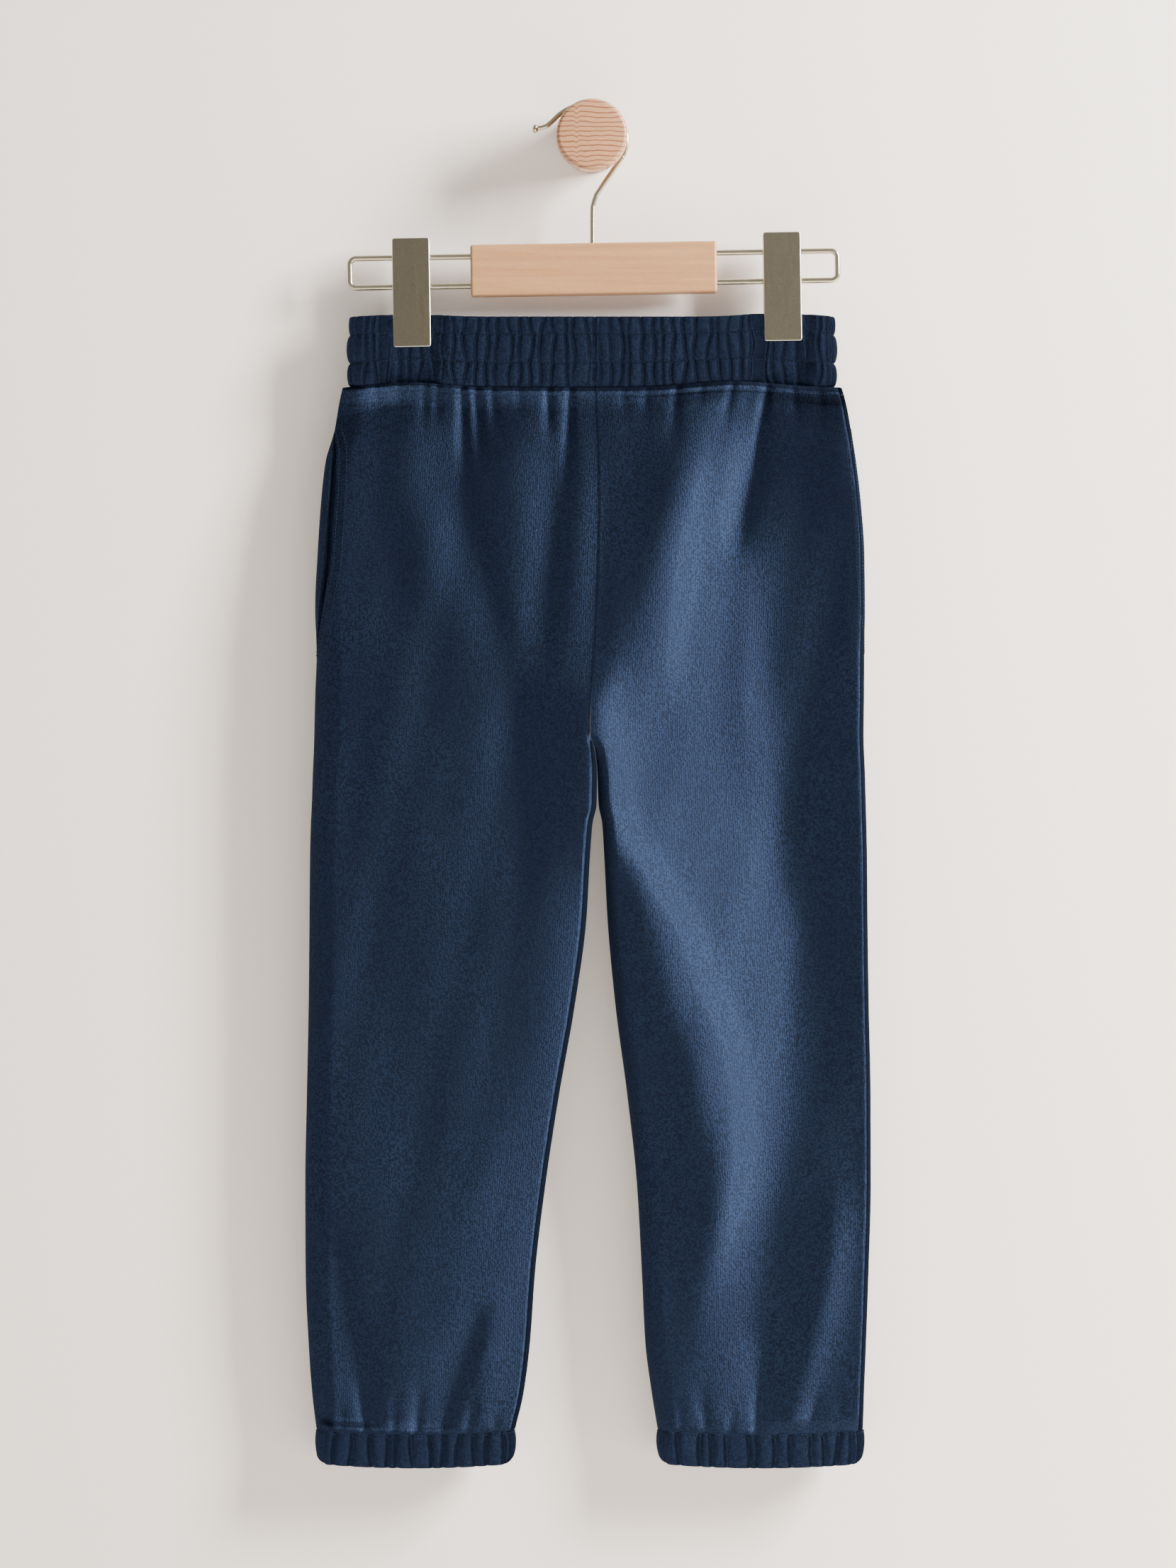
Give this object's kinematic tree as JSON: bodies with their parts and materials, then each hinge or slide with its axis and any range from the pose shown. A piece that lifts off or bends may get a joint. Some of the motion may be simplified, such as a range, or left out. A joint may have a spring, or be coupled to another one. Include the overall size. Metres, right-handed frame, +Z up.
{
  "type": "jogger sweatpants on a clip hanger and wall knob",
  "caption": "Child's fleece jogger sweatpants, back outward, with a gathered elastic waist and hems, hung by a clip hanger from a round wooden wall knob.",
  "frame": {"origin": "middle of the wall knob's back face, where the knob is fixed to the wall", "axes": "+Z up, +Y into the wall, +X to the viewer's right; the garment's back faces -Y, towards the viewer"},
  "size_m": [0.3192, 0.0424, 0.7703],
  "materials": {
    "navy_fleece": "brushed-back sweatshirt fleece, matt, with a fine knitted face",
    "bar_wood": "smooth pale beech, satin",
    "knob_wood": "turned beech with end grain showing, satin",
    "plated_wire": "bright plated steel wire",
    "clip_metal": "brushed, dull champagne-coloured plate"
  },
  "bodies": {
    "root": {"waistband": "navy_fleece", "back_panel_left": "navy_fleece", "back_panel_right": "navy_fleece", "front_panel_left": "navy_fleece", "front_panel_right": "navy_fleece", "pocket_facing_left": "navy_fleece", "pocket_facing_right": "navy_fleece", "hem_left": "navy_fleece", "hem_right": "navy_fleece", "hanger_bar": "bar_wood", "wall_knob": "knob_wood", "hanger_hook": "plated_wire", "wire_loop_left": "plated_wire", "wire_loop_right": "plated_wire", "clip_left_spring": "plated_wire", "clip_right_spring": "plated_wire", "clip_left_front_plate": "clip_metal", "clip_left_back_plate": "clip_metal", "clip_right_front_plate": "clip_metal", "clip_right_back_plate": "clip_metal"}
  },
  "joints": []
}
